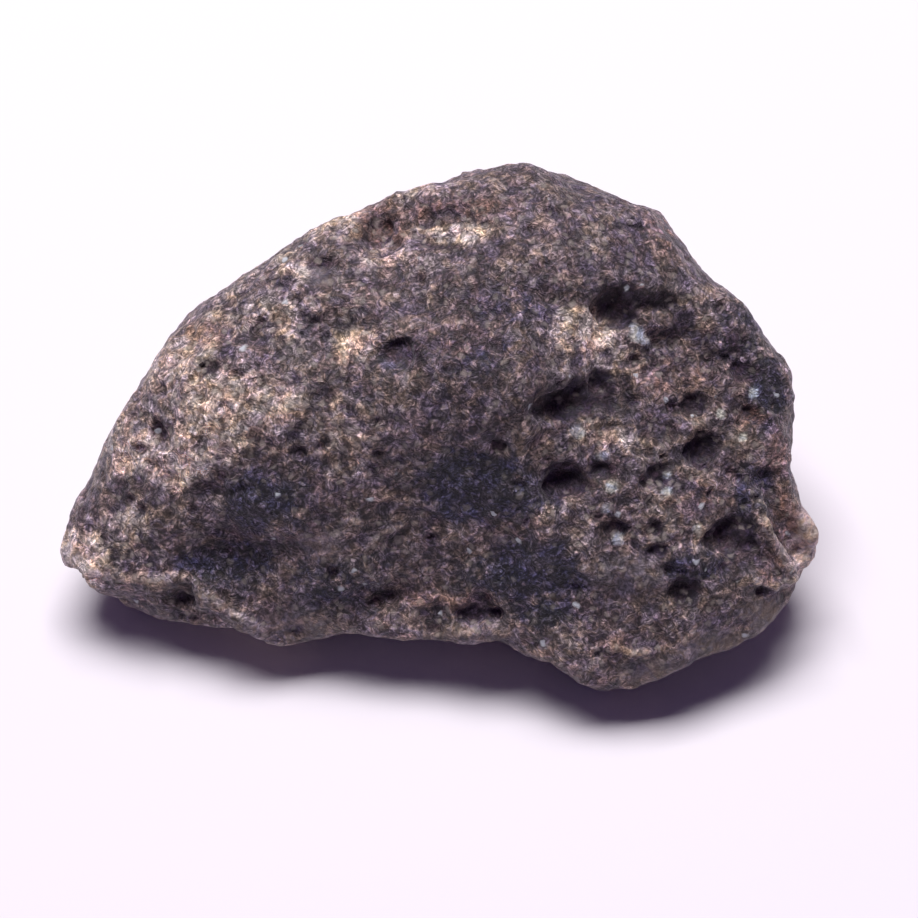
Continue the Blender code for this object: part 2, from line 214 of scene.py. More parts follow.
def patches(ovals, seed):
    """The mask of a list of ovals on the face, and of a random field on the back."""
    ragged = FRAY * random_field(points, FRAY_SIZE, octaves=3, shift=seed)
    mask = np.zeros(len(points))
    for x, y, half_width, half_height, strength in ovals:
        away = np.hypot((on_face[:, 0] - x) / half_width, (on_face[:, 1] - y) / half_height)
        mask = np.maximum(mask, strength * step(away + ragged, OVAL_OUTSIDE, OVAL_INSIDE))
    field = random_field(points, BEHIND_SIZE, octaves=3, shift=seed + BEHIND_SEED)
    behind = BEHIND_STRENGTH * step(field, -0.05, 0.55)
    return mask * facing + behind * (1 - facing)


def print_cover(kind):
    print(kind, "covers", round(100 * float((masks[kind] > 0.5).mean())), "% of the skin")


print("an oval's edge wanders by", FRAY, "of its half-width")

# %% [markdown]
# ## Bubbly skin
# Where gas left the melt, the skin is rough and full of small holes, most of all at the thick end. This
# mask has no colour of its own: it only tells the relief where to be rough and where to press in small
# bubbles.

# %% Bubbly patches
# Each patch: x, y, half-width, half-height, strength.
BUBBLY = (
    (12.0, -1.0, 6.4, 6.8, 0.9),
    (9.5, 5.5, 4.0, 2.6, 0.8),
    (-13.0, 2.5, 3.4, 3.0, 0.45),
    (0.0, 11.0, 5.0, 1.6, 0.8),
    (0.5, -9.9, 4.6, 1.3, 0.7),
    (-11.0, -10.0, 5.0, 1.2, 0.5),
)
masks["bubbly"] = patches(BUBBLY, seed=3.0)
print_cover("bubbly")

# %% [markdown]
# ## Tan crust
# Weathered sand that never melted clings to the upper left of the face, to the tips and round some bubbles.
# Along the upper left edge the pale crust is partly a painted highlight, the bright rim that edge shows
# where it catches the light. Its strength differs from patch to patch, so each oval carries its own: above
# 1 it stays solid up to its edge, and near 0.3 it only breaks through in spots.

# %% Crusted patches
CRUST = (
    (-16.6, -0.4, 2.6, 3.0, 0.40),
    (-15.2, -1.8, 2.8, 1.5, 1.30),
    (-14.0, 3.2, 2.2, 2.4, 0.65),
    (-12.4, 0.8, 2.8, 2.6, 0.80),
    (-9.6, 1.2, 2.6, 1.6, 0.65),
    (-6.4, -0.4, 2.6, 1.6, 0.50),
    (-4.8, -2.0, 1.4, 1.1, 0.45),
    (-9.8, 6.0, 3.4, 1.8, 0.35),
    (-6.0, 11.0, 2.6, 1.2, 0.60),
    (-8.6, 8.8, 2.4, 1.2, 0.45),
    (-1.6, 12.8, 2.4, 0.8, 0.50),
    (-3.0, 9.1, 1.4, 0.7, 0.60),
    (0.6, 10.3, 2.2, 0.7, 0.90),
    (-4.4, 4.2, 1.2, 1.0, 0.95),
    (0.6, 4.6, 1.4, 0.5, 0.30),
    (7.9, 5.0, 1.9, 1.2, 1.20),
    (9.4, 3.4, 3.0, 0.8, 0.45),
    (12.0, 2.8, 2.4, 0.9, 0.35),
    (8.6, -0.6, 3.0, 1.1, 0.55),
    (7.0, -4.6, 2.2, 0.7, 0.50),
    (14.0, -3.6, 2.4, 1.0, 0.25),
    (12.0, -6.0, 2.6, 0.9, 0.30),
    (-20.2, -7.2, 1.9, 1.7, 1.30),
    (-17.6, -6.0, 2.4, 2.4, 0.35),
    (-16.8, -8.3, 2.8, 0.5, 0.50),
    (-10.6, -10.9, 1.8, 0.6, 0.25),
    (-1.0, -11.2, 5.0, 0.6, 0.35),
    (8.6, -12.2, 3.6, 1.2, 0.35),
    (20.8, -6.5, 1.4, 1.9, 1.80),
)
masks["crust"] = patches(CRUST, seed=11.0)
print_cover("crust")

# %% [markdown]
# ## Rust
# Iron in the melt has rusted in a few sheltered places: in the hollow near the top, along the scar at the
# broken end and on the lower edge. The ovals stay small, and later the rust is blended in only in part, so
# that the sand still shows through it.

# %% Rusty patches
RUST = (
    (-3.2, 10.9, 1.4, 1.4, 1.0),
    (0.8, 11.6, 2.8, 0.8, 0.9),
    (-4.4, 4.2, 1.1, 0.9, 0.5),
    (-12.6, 5.0, 1.4, 0.8, 0.9),
    (0.8, 4.6, 1.6, 0.8, 0.5),
    (10.2, -12.0, 2.2, 0.9, 0.6),
    (0.2, -9.4, 2.4, 0.6, 0.6),
    (18.6, -4.8, 0.9, 1.8, 1.3),
    (18.2, -7.8, 0.9, 0.9, 1.0),
    # Painted shade on the right edge, where the light gives the sheen a bright rim.
    (18.6, -1.6, 0.8, 2.0, 0.6),
    (12.6, 2.6, 2.4, 1.0, 0.8),
    (14.0, -3.8, 1.8, 1.0, 0.6),
    (16.8, 0.6, 0.8, 0.6, 0.8),
    # Painted shade on the upper right edge, where the light gives the sheen a bright rim.
    (12.6, 11.4, 1.2, 2.2, 0.6),
)
masks["rust"] = patches(RUST, seed=19.0)
print_cover("rust")

# %% [markdown]
# ## Slate-blue glass
# Bare glass shows in two kinds. In the low, smooth parts of the face it is almost black with a blue cast,
# because little sand stuck there. Its ovals are laid over the sandy ground as a colour of their own.

# %% Slate patches
SLATE = (
    (-11.8, -7.4, 2.4, 1.4, 1.00),
    (-9.6, -4.0, 2.8, 1.5, 1.30),
    (1.6, -3.0, 2.8, 2.0, 1.30),
    (4.4, -4.0, 1.8, 1.2, 1.10),
    (5.0, -7.8, 3.2, 1.6, 1.15),
    (5.6, -10.2, 1.6, 0.8, 1.00),
    (-5.6, -8.4, 2.6, 1.6, 0.70),
    (0.9, 0.8, 1.2, 1.4, 0.40),
    (-2.2, 3.7, 1.3, 0.9, 1.10),
    (16.4, 4.6, 1.8, 2.2, 0.60),
    (17.8, 1.8, 1.2, 2.4, 1.10),
    (4.2, 6.4, 1.9, 1.2, 0.50),
    (2.4, 3.8, 1.6, 1.2, 0.50),
    (13.6, -7.8, 1.8, 0.9, 0.90),
    (17.0, -3.4, 1.0, 1.6, 0.80),
    # The last two ovals are painted shade on the right edge, where the light gives the sheen a bright rim.
    (12.8, 11.2, 1.0, 2.2, 0.45),
    (19.4, -1.6, 0.8, 2.4, 0.50),
)
masks["slate"] = patches(SLATE, seed=27.0)
print_cover("slate")

# %% [markdown]
# ## Brown bare glass
# Higher up, and between the bubbles, the glass is bare as well but warmer and duller. It gets a mask of its
# own, which will thin out the sandy matrix instead of painting a colour over it.

# %% Bare patches
BARE = (
    (11.4, 10.0, 2.4, 2.4, 1.0),
    (9.6, 12.8, 3.4, 0.9, 1.0),
    (14.4, 9.2, 1.3, 1.8, 0.9),
    (5.2, 7.1, 2.8, 1.4, 1.2),
    (0.8, 6.8, 1.8, 1.4, 1.1),
    (-0.6, 3.8, 1.6, 1.2, 1.0),
    (2.2, 3.6, 2.0, 1.4, 0.6),
    (11.6, 7.2, 2.6, 1.0, 0.5),
    (16.6, 5.4, 1.6, 1.8, 0.8),
    (16.4, 1.4, 1.4, 1.4, 0.6),
    (12.0, -2.4, 2.0, 1.0, 0.7),
    (14.8, -5.0, 2.4, 1.6, 1.0),
    (9.8, -3.2, 1.4, 1.0, 0.6),
    (9.0, -8.2, 1.4, 1.0, 0.6),
    (16.4, -7.4, 1.6, 1.0, 0.9),
    (6.4, -10.4, 1.4, 0.8, 0.8),
    (13.0, -10.2, 1.6, 0.8, 0.7),
    (-6.0, -9.8, 2.4, 0.8, 0.8),
    (-2.2, -9.6, 1.2, 0.6, 0.7),
    (-7.6, -3.6, 2.4, 1.6, 0.7),
    (-13.2, -8.9, 1.8, 0.6, 1.0),
    (-9.4, -1.4, 1.6, 1.0, 0.5),
)
masks["bare"] = patches(BARE, seed=43.0)
print_cover("bare")

# %% [markdown]
# ## Worn places
# Handling and weather rub the lower edge and the tips smooth and grey. Here the relief is lower and the
# grains lose contrast.

# %% Worn patches
WORN = (
    (12.2, -13.6, 2.2, 0.8, 1.0),
    (15.4, -12.0, 2.2, 0.9, 1.0),
    (18.0, -10.4, 1.5, 1.2, 1.0),
    (20.1, -6.2, 1.2, 2.0, 1.0),
    (-20.6, -7.4, 1.0, 1.0, 0.6),
    (-8.4, -10.9, 2.4, 0.9, 0.7),
    (-6.4, -6.6, 1.4, 1.0, 0.6),
    (10.4, -8.0, 2.2, 1.2, 0.6),
    (2.0, -11.4, 2.6, 0.5, 0.6),
    (-6.4, 8.0, 0.8, 0.6, 1.0),
    (-2.2, 3.6, 1.0, 0.6, 0.7),
)
masks["worn"] = patches(WORN, seed=35.0)
print_cover("worn")

# %% [markdown]
# ## Hollows round the burst bubbles
# The large bubbles are in the solid already. On the real stone their mouths widen into ragged hollows lined
# with dark glass. Carving them with more solids would leave crisp edges. Instead each hollow is an oval
# that presses the skin in a little and marks a wider, softer rim for a dark colour, which is partly the
# dark glass and partly painted shade. The deeper a hollow, the blacker its middle: a painted shadow, which
# is a mask of its own.

# %% Press in the hollows
# Each hollow: x, y, half-width, half-height, depth in millimetres.
HOLLOWS = (
    (9.7, 6.4, 1.6, 1.25, 0.35),
    (12.0, 6.7, 1.0, 0.5, 0.20),
    (7.1, 1.35, 2.3, 1.15, 0.30),
    (8.7, 2.2, 0.9, 0.9, 0.25),
    (6.6, -2.95, 1.6, 0.95, 0.27),
    (8.8, -2.4, 0.9, 0.4, 0.20),
    (14.1, -1.2, 1.2, 0.85, 0.30),
    (16.0, -6.0, 1.3, 1.2, 0.50),
    (13.8, 1.2, 0.8, 0.7, 0.45),
    (13.5, -9.0, 0.9, 0.9, 0.30),
    (9.4, -5.5, 0.7, 0.5, 0.25),
    (11.6, -5.5, 0.5, 0.4, 0.30),
    (11.8, -6.7, 0.7, 0.4, 0.30),
    (11.8, -2.6, 0.75, 0.65, 0.25),
    (16.4, 2.9, 1.0, 0.5, 0.20),
    (16.0, 4.5, 0.7, 0.6, 0.20),
    (16.8, 0.6, 0.6, 0.45, 0.25),
    (12.8, 5.1, 0.8, 0.5, 0.15),
    (10.4, 1.3, 0.4, 0.35, 0.25),
    (3.1, -1.1, 0.45, 0.35, 0.30),
    (-15.1, -0.4, 0.6, 0.8, 0.20),
    (-12.4, 3.1, 0.5, 0.45, 0.18),
    (-2.1, 3.9, 1.1, 0.7, 0.20),
    (-3.3, 10.3, 0.8, 1.0, 0.18),
    (-6.3, 8.8, 1.0, 0.4, 0.15),
    (-14.1, -9.3, 0.6, 0.6, 0.30),
    (-3.1, -9.3, 0.8, 0.4, 0.10),
    (1.8, -10.2, 1.6, 0.5, 0.22),
)
HOLLOW_DEPTH = 0.8  # share of the listed depth
WANDER = 0.30
WANDER_SIZE = 0.9
hollow = np.zeros(len(points))
masks["painted_pit_shadow"] = np.zeros(len(points))
deepening = np.zeros(len(points))
wander = WANDER * random_field(points, WANDER_SIZE, octaves=3, shift=51.0)
for x, y, half_width, half_height, depth in HOLLOWS:
    away = np.hypot((on_face[:, 0] - x) / half_width, (on_face[:, 1] - y) / half_height) + wander
    inside = step(away, 1.15, 0.60) * facing
    hollow = np.maximum(hollow, step(away + 0.6 * wander, 1.40, 0.45) * facing)
    deepening = np.maximum(deepening, HOLLOW_DEPTH * depth * inside)
    # A near-black painted shadow in the middle of each deep hollow, where shade falls inside it.
    painted_pit_shadow = step(away + 0.3 * wander, 1.10, 0.60) * step(depth, 0.10, 0.30) * facing
    masks["painted_pit_shadow"] = np.maximum(masks["painted_pit_shadow"], painted_pit_shadow)
print("deepest hollow:", round(float(deepening.max()), 2), "mm")

# %% [markdown]
# ## Thin raised rims
# Threads of melt froze as thin ridges: the curl at the broken end, a squiggle low on the face and the ledge
# over the lower left edge. A curve with a bevel would look like a wire laid on top. A bent line whose
# distance to each point sets the height grows out of the skin instead. Rims catch sand and wear, so they
# add to both masks.

# %% Raise the rims
def distance_to_line(bends):
    """How far each point lies from a bent line drawn on the face, in millimetres."""
    nearest = np.full(len(points), np.inf)
    for start, end in zip(bends[:-1], bends[1:]):
        start = np.array(start)
        along = np.array(end) - start
        share = np.clip((on_face[:, :2] - start) @ along / (along @ along), 0, 1)
        to_line = on_face[:, :2] - start - share[:, None] * along
        nearest = np.minimum(nearest, np.linalg.norm(to_line, axis=1))
    return nearest


# Each rim: the bends of the line, its half-width and its rise in millimetres.
RIMS = (
    (((17.1, -3.7), (17.4, -5.0), (17.9, -6.1), (18.6, -7.0), (19.2, -7.8)), 0.20, 0.34),
    (((17.2, -8.4), (18.4, -8.7), (19.4, -8.3)), 0.18, 0.28),
    (((-2.0, -5.3), (-3.2, -5.8), (-4.1, -6.6), (-4.0, -7.8), (-3.4, -8.5)), 0.14, 0.16),
    (
        ((-19.6, -8.0), (-17.4, -8.2), (-15.0, -8.5), (-13.2, -9.2), (-11.8, -9.9), (-10.2, -11.1)),
        0.24,
        0.10,
    ),
    (((9.4, -12.0), (10.4, -12.3), (11.3, -12.2)), 0.20, 0.24),
    (((-2.4, 10.2), (-1.4, 10.6), (-0.4, 10.3)), 0.14, 0.20),
)
rims = np.zeros(len(points))
for bends, half_width, rise in RIMS:
    uneven_width = 0.4 * half_width * wander / WANDER
    ridge = step(distance_to_line(bends) + uneven_width, 1.8 * half_width, 0.0) * facing
    rims = np.maximum(rims, rise * ridge)
    masks["crust"] = np.maximum(masks["crust"], min(1.0, 3 * rise) * ridge)
    masks["worn"] = np.maximum(masks["worn"], 0.6 * ridge)
print("highest rim:", round(float(rims.max()), 2), "mm")

# %% [markdown]
# ## Large grains of quartz
# A few grains are big enough to see one by one, milky and a little blue. Small balls set into the skin
# would stand out too much, since the real ones are broken flush with it, so each is a ragged spot of
# colour.

# %% Quartz spots
# Each grain: x, y, radius.
QUARTZ_GRAINS = (
    (9.2, -3.3, 0.34),
    (12.3, -2.6, 0.22),
    (12.2, -3.5, 0.24),
    (7.4, -0.3, 0.42),
    (10.5, 4.9, 0.46),
    (11.0, 4.6, 0.30),
    (9.6, -6.1, 0.32),
    (8.9, -4.4, 0.20),
    (15.2, 0.7, 0.24),
    (17.0, 1.8, 0.28),
    (16.4, -0.6, 0.24),
    (8.7, -1.6, 0.30),
    (13.8, -5.5, 0.22),
)
masks["quartz"] = np.zeros(len(points))
for x, y, radius in QUARTZ_GRAINS:
    away = np.hypot(on_face[:, 0] - x, on_face[:, 1] - y) / radius + 1.2 * wander
    masks["quartz"] = np.maximum(masks["quartz"], step(away, 1.2, 0.7) * facing)
print(len(QUARTZ_GRAINS), "large grains")

# %% [markdown]
# ## Pushing points along their normals
# All the relief is made in one way: a height in millimetres for every point, and a push along its normal. A
# Displace modifier does the same from a texture, but an array can mix masks, noise and single bubbles
# freely.

# %% Push and measure
CALM_NORMALS = 8  # rounds of blur, so that single grains don't tilt the measure


def normals():
    return read(stone.data, "vertex_normals", "vector")


def depth_under(rounds):
    """How deep each point lies under a blurred copy of the skin, in millimetres."""
    skin = read(stone.data, "vertices", "co")
    return np.einsum("ij,ij->i", blurred(skin, rounds) - skin, blurred(normals(), CALM_NORMALS)) / MM


def push(heights):
    """Moves every point along its normal by a height in millimetres."""
    place(stone.data, read(stone.data, "vertices", "co") + normals() * (heights * MM)[:, None])


WIDE_BLUR = 120
pit_depth = depth_under(WIDE_BLUR)
print("deepest pit under the blurred stone:", round(float(pit_depth.max()), 2), "mm")

# %% [markdown]
# ## Softer pits
# The solid's pits are cleanly cut. Real ones are half filled with dust and crumbled glass, so their floors
# lie higher and their shadows are softer. Points that lie deep under a blurred stone are moved part of the
# way to it.

# %% Fill the pits in part
PIT_FILL = 0.70
soft_pit = step(pit_depth, 0.05, 0.50)
place(stone.data, points + (blurred(points, WIDE_BLUR) - points) * (PIT_FILL * soft_pit)[:, None])
push(rims - deepening)
print("points moved by the fill:", int((soft_pit > 0.5).sum()))

# %% [markdown]
# ## Relief: dents, curls and grains
# Under a lens the skin is a rubble of sand grains half sunk in glass. Three noises build it up from large
# to small: dents more than a millimetre across, curled ridges where a noise crosses zero, and grains of
# half a millimetre. Crust, bubbly skin and hollows get more of it, and worn places less.

# %% Roughen the skin
DENT_SIZE, DENT_HEIGHT = 1.4, 0.16
CURL_SIZE, CURL_HEIGHT = 0.8, 0.20
SAND_SIZE, SAND_HEIGHT = 0.55, 0.13
roughness = 0.35 + 0.65 * np.maximum.reduce([masks["crust"], masks["bubbly"], hollow])
roughness *= 1 - 0.6 * masks["worn"]
dents = random_field(points, DENT_SIZE, octaves=2, shift=5.0)
curls = 0.4 - np.abs(random_field(points, CURL_SIZE, octaves=1, shift=15.0))
sand = random_field(points, SAND_SIZE, octaves=1, shift=9.0)
relief = DENT_HEIGHT * dents * roughness + CURL_HEIGHT * curls * roughness
relief = relief + SAND_HEIGHT * sand * (0.5 + 0.5 * roughness)
push(relief)
print("relief from", round(float(relief.min()), 2), "to", round(float(relief.max()), 2), "mm")

# %% [markdown]
# ## Small burst bubbles
# Besides the large bubbles there are hundreds under a millimetre. They are too many to place by hand, so a
# random draw picks their middles, mostly on bubbly and crusted skin, and many small ones for each larger
# one. Each is pressed in as a bowl with an uneven edge.

# %% Press in the small bubbles
SMALL_BUBBLES = 560
SMALLEST, SPREAD = 0.20, 0.40  # radii, in millimetres
FEW_LARGE = 2.2  # the higher, the fewer bubbles near the largest size
SHALLOWEST, DEEPEST = 0.35, 0.8  # as shares of the radius
EDGE_SIZE, EDGE_UNEVEN = 0.6, 0.45
BOWL_SHAPE = 1.2  # 1 is a parabola, and more is more pointed
rng = np.random.default_rng(12)
chance = 0.10 + masks["bubbly"] ** 2 + 0.6 * masks["crust"]
centres = rng.choice(len(points), SMALL_BUBBLES, replace=False, p=chance / chance.sum())
radii = SMALLEST + SPREAD * rng.random(SMALL_BUBBLES) ** FEW_LARGE
depths = radii * rng.uniform(SHALLOWEST, DEEPEST, SMALL_BUBBLES)
skin = read(stone.data, "vertices", "co")
outward = normals()
uneven = 1 + EDGE_UNEVEN * random_field(skin, EDGE_SIZE, octaves=2, shift=31.0)
dent = np.zeros(len(skin))
for centre, radius, depth in zip(centres, radii, depths):
    away = uneven * np.linalg.norm(skin - skin[centre], axis=1) / (radius * MM)
    near = (away < 1.0) & (outward @ outward[centre] > 0.2)
    bowl = -depth * (1 - away[near] ** 2) ** BOWL_SHAPE
    dent[near] = np.minimum(dent[near], bowl)
push(dent)
print("bubbles from", round(float(radii.min()), 2), "to", round(float(radii.max()), 2), "mm in radius")

# %% [markdown]
# ## Keeping it on the ground and inside its box
# Noise moves points both ways, so a few would sink under the floor or leave the solid's box. They are
# pulled back to it. This keeps the underside flat where it rests, too.

# %% Clamp to the solid's box
lowest, highest = (np.array(corner) for corner in cad_box)
place(stone.data, np.clip(read(stone.data, "vertices", "co"), lowest, highest))
stone.data.shade_smooth()
print("lowest point:", read(stone.data, "vertices", "co")[:, 2].min())

# %% [markdown]
# ## How deep each point lies
# Dark glass lines the pits, and painted shade darkens them further where they lie deep or in a hollow. On
# their deepest floors a paler colour is dust and painted light that lifts the shadow there, and crests are
# rubbed pale.
# How far a point lies under a blurred stone tells a pit from a crest. A wide blur finds whole bubbles and a
# narrow one single grains. All masks are then stored as attributes, which is how a material can read them.

# %% Measure pits and crests, and store the masks
BUBBLE_BLUR = 160
GRAIN_BLUR = 24
depth = depth_under(BUBBLE_BLUR)
# The pit mask: dark glass lining the pits, and painted shade in deep recesses and hollows.
masks["pit"] = np.maximum(step(depth, 0.10, 0.60), hollow)
# Deep pit floors: dust, and a paler painted light that lifts their shadow.
masks["dust_and_painted_light"] = step(depth, 0.20, 0.60)
masks["crest"] = step(-depth_under(GRAIN_BLUR), -0.03, 0.05)
for kind, mask in masks.items():
    layer = stone.data.attributes.new(kind, "FLOAT", "POINT")
    layer.data.foreach_set("value", mask.astype(np.float32))
print_cover("pit")

# %% [markdown]
# ## A material made of nodes
# The whole skin is one Principled shader, because it is one stone; what changes over it is the colour, the
# roughness and the finest relief. Nodes placed by hand are hard to follow, so short helpers make one node
# each, link what goes in and hand back what comes out, and a formula can then be read as a formula.

# %% Make and link nodes
material = bpy.data.materials.new("sandy impact glass")
material.use_nodes = True
tree = material.node_tree
shader = tree.nodes["Principled BSDF"]


def node(kind, **settings):
    made = tree.nodes.new(kind)
    for name, value in settings.items():
        setattr(made, name, value)
    return made


def feed(socket, value):
    """Links a value that comes from another node, or sets one that is a plain number or colour."""
    if isinstance(value, bpy.types.NodeSocket):
        tree.links.new(value, socket)
    else:
        socket.default_value = value


def mask_of(kind):
    return node("ShaderNodeAttribute", attribute_name=kind).outputs["Fac"]


def print_nodes(step_done):
    print(step_done + ":", len(tree.nodes), "nodes so far")


print_nodes("new material")

# %% Sums, ramps and blends
def maths(operation, first, second=0.0):
    made = node("ShaderNodeMath", operation=operation)
    feed(made.inputs[0], first)
    feed(made.inputs[1], second)
    return made.outputs["Value"]


def add(first, second):
    return maths("ADD", first, second)


def subtract(first, second):
    return maths("SUBTRACT", first, second)


def times(first, second):
    return maths("MULTIPLY", first, second)


def ramp(value, low, high, bottom=0.0, top=1.0):
    """Maps low..high to bottom..top with a smooth ramp, and holds the ends."""
    made = node("ShaderNodeMapRange", interpolation_type="SMOOTHSTEP")
    names = ("Value", "From Min", "From Max", "To Min", "To Max")
    for name, given in zip(names, (value, low, high, bottom, top)):
        feed(made.inputs[name], given)
    return made.outputs["Result"]


def blend_colour(share, first, second, how="MIX"):
    made = node("ShaderNodeMix", data_type="RGBA", blend_type=how)
    feed(made.inputs["Factor"], share)
    feed(made.inputs["A"], first)
    feed(made.inputs["B"], second)
    return made.outputs["Result"]


print("helpers: add, subtract, times, ramp, blend_colour")

# %% [markdown]
# ## Coordinates, plain and stirred
# The textures are placed by the object's own coordinates, turned into millimetres, so that a grain keeps
# its size in sand grains whatever the view. Pushing the coordinates about with a noise before they reach a
# texture turns round grains into ragged chips and squiggles, as when sand is stirred into melt.

# %% Coordinates in millimetres, and the same ones stirred
scaled = node("ShaderNodeVectorMath", operation="SCALE")
feed(scaled.inputs["Vector"], node("ShaderNodeTexCoord").outputs["Object"])
feed(scaled.inputs["Scale"], 1 / MM)
millimetres = scaled.outputs["Vector"]


def stirred(amount, size):
    """Coordinates pushed about by a noise of the given size and amount, in millimetres."""
    swirl = node("ShaderNodeTexNoise")
    feed(swirl.inputs["Vector"], millimetres)
    feed(swirl.inputs["Scale"], 1 / size)
    feed(swirl.inputs["Detail"], 1.0)
    centred = node("ShaderNodeVectorMath", operation="SUBTRACT")
    feed(centred.inputs[0], swirl.outputs["Color"])
    feed(centred.inputs[1], (0.5, 0.5, 0.5))
    pushed = node("ShaderNodeVectorMath", operation="MULTIPLY_ADD")
    feed(pushed.inputs[0], centred.outputs["Vector"])
    feed(pushed.inputs[1], (amount, amount, amount))
    feed(pushed.inputs[2], millimetres)
    return pushed.outputs["Vector"]


ragged = stirred(amount=0.42, size=0.42)
print_nodes("coordinates")

# %% Noise and cells by their size
def grain_noise(where, size, detail=2.0, roughness=0.5, distortion=0.0):
    made = node("ShaderNodeTexNoise")
    feed(made.inputs["Vector"], where)
    feed(made.inputs["Scale"], 1 / size)
    feed(made.inputs["Detail"], detail)
    feed(made.inputs["Roughness"], roughness)
    feed(made.inputs["Distortion"], distortion)
    return made.outputs["Fac"]


CELL_SMOOTHNESS = 0.12


def cells(where, size):
    """Two random greys of each cell, and the distance from its middle."""
    made = node("ShaderNodeTexVoronoi", feature="SMOOTH_F1")
    feed(made.inputs["Vector"], where)
    feed(made.inputs["Scale"], 1 / size)
    feed(made.inputs["Smoothness"], CELL_SMOOTHNESS)
    apart = node("ShaderNodeSeparateColor")
    feed(apart.inputs["Color"], made.outputs["Color"])
    return apart.outputs["Red"], apart.outputs["Green"], made.outputs["Distance"]


GRAIN = 0.44  # millimetres
tone, pick, middle = cells(ragged, GRAIN)
print_nodes("grain cells")

# %% [markdown]
# ## Glass and sandy matrix
# Melted sandstone is dark glass where it melted through and grey-brown matrix where sand is left in it. The
# two change place every millimetre or so. A coarse and a fine noise together decide which shows, crests
# lean towards the matrix and bare patches away from it.

# %% The ground colour
GLASS = (0.070, 0.0515, 0.063, 1)
MATRIX = (0.164, 0.123, 0.126, 1)
mottle = grain_noise(millimetres, size=1.6, roughness=0.6)
fine_mottle = grain_noise(ragged, size=0.7, roughness=0.6)
broken = add(times(mottle, 0.45), times(fine_mottle, 0.45))
broken = add(broken, times(mask_of("crest"), 0.10))
sandy = subtract(broken, times(mask_of("bare"), 0.10))
base = blend_colour(ramp(sandy, 0.42, 0.58), GLASS, MATRIX)
print_nodes("ground colour")

# %% [markdown]
# ## Crust and slate over it
# A mask alone would give an even stain with a soft edge. Adding a noise to the mask before the ramp makes
# the crust break up into flecks towards its edge, which is how weathered sand comes off. The slate glass is
# laid on in the same way. The crust varies between tan and peach, as sand does.

# %% Lay on crust and slate
TAN = (0.485, 0.392, 0.345, 1)
PEACH = (0.465, 0.338, 0.293, 1)
SLATE_GLASS = (0.0235, 0.0225, 0.042, 1)
BREAK_UP = 1.8
crust_share = add(mask_of("crust"), times(subtract(broken, 0.5), BREAK_UP))
crust_share = ramp(crust_share, 0.15, 1.00)
sand_kind = grain_noise(millimetres, size=1.1, detail=1.0)
crust_colour = blend_colour(ramp(sand_kind, 0.42, 0.62), TAN, PEACH)
base = blend_colour(crust_share, base, crust_colour)
slate_share = add(mask_of("slate"), times(subtract(0.5, fine_mottle), BREAK_UP))
slate_share = ramp(slate_share, 0.08, 1.00, 0.0, 0.90)
base = blend_colour(slate_share, base, SLATE_GLASS)
print_nodes("crust and slate")

# %% [markdown]
# ## Wear, pits, rust and quartz
# Four more layers lie over the rest: edges rubbed grey where there is no crust, pits lined with dark glass
# and painted shade, with dust and painted light at the bottom and a painted shadow in the middle of each
# deep hollow, rust that stains what it touches, and the large grains. Each is one blend, so a layer can be
# left out or moved in the order without touching the others.

# %% Lay on wear and pits
WORN_GREY = (0.190, 0.155, 0.165, 1)
# Pit colours: dark glass with painted shade, and a paler dust with painted light for deep floors.
PIT_GLASS_AND_SHADE = (0.037, 0.024, 0.036, 1)
PIT_DUST_AND_LIGHT = (0.125, 0.085, 0.120, 1)
PIT_PAINTED_SHADOW = (0.022, 0.0135, 0.025, 1)
PIT_GLASS_AND_SHADE_SHARE = 0.85
worn_share = times(mask_of("worn"), subtract(0.5, times(mask_of("crust"), 0.5)))
base = blend_colour(worn_share, base, WORN_GREY)
pit_glass_and_painted_light = blend_colour(mask_of("dust_and_painted_light"), PIT_GLASS_AND_SHADE, PIT_DUST_AND_LIGHT)
base = blend_colour(times(mask_of("pit"), PIT_GLASS_AND_SHADE_SHARE), base, pit_glass_and_painted_light)
# The middles of deep hollows get a near-black painted shadow.
painted_pit_shadow_share = times(mask_of("painted_pit_shadow"), subtract(0.9, times(mask_of("dust_and_painted_light"), 0.6)))
base = blend_colour(painted_pit_shadow_share, base, PIT_PAINTED_SHADOW)
print_nodes("wear and pits")

# %% Lay on rust and quartz
RUSTY = (0.20, 0.115, 0.105, 1)
QUARTZ = (0.62, 0.66, 0.72, 1)
QUARTZ_SHARE = 0.50
rust_share = times(mask_of("rust"), ramp(broken, 0.42, 0.58, 0.1, 0.8))
base = blend_colour(rust_share, base, RUSTY)
base = blend_colour(times(mask_of("quartz"), QUARTZ_SHARE), base, QUARTZ)
print_nodes("rust and quartz")

# %% [markdown]
# ## Grains of many tones
# Close up, no two grains are equally bright. Four patterns add up to a shade: one grey per cell for the
# grains, a swirled noise for clots of them, a fine noise for dust, and the sine of a slow noise, whose
# bands draw thin curled strokes. The sum is an exponent, so that it makes dark and pale colours vary by the
# same ratio. Worn skin, quartz and the painted shadow in the middles of pits vary less, slate glass more.

# %% Add up the shade of the grains
STROKES = 38.0  # the higher, the more bands and the thinner each stroke
TONE_REACH, STROKE_REACH, SWIRL_REACH, DUST_REACH = 0.9, 0.34, 0.62, 3.0
swirls = grain_noise(millimetres, size=0.50, roughness=0.6, distortion=1.8)
fine = grain_noise(ragged, size=0.17, roughness=0.7, distortion=1.2)
slow = grain_noise(millimetres, size=0.80, detail=1.0, distortion=0.6)
strokes = maths("SINE", times(slow, STROKES))
strokes = ramp(strokes, -0.5, 0.5, -1.0, 1.0)
shade_of_grain = add(times(subtract(tone, 0.5), TONE_REACH), times(strokes, STROKE_REACH))
shade_of_grain = add(shade_of_grain, ramp(swirls, 0.34, 0.66, -SWIRL_REACH, SWIRL_REACH))
shade_of_grain = add(shade_of_grain, times(subtract(fine, 0.5), DUST_REACH))
print_nodes("shade of the grains")

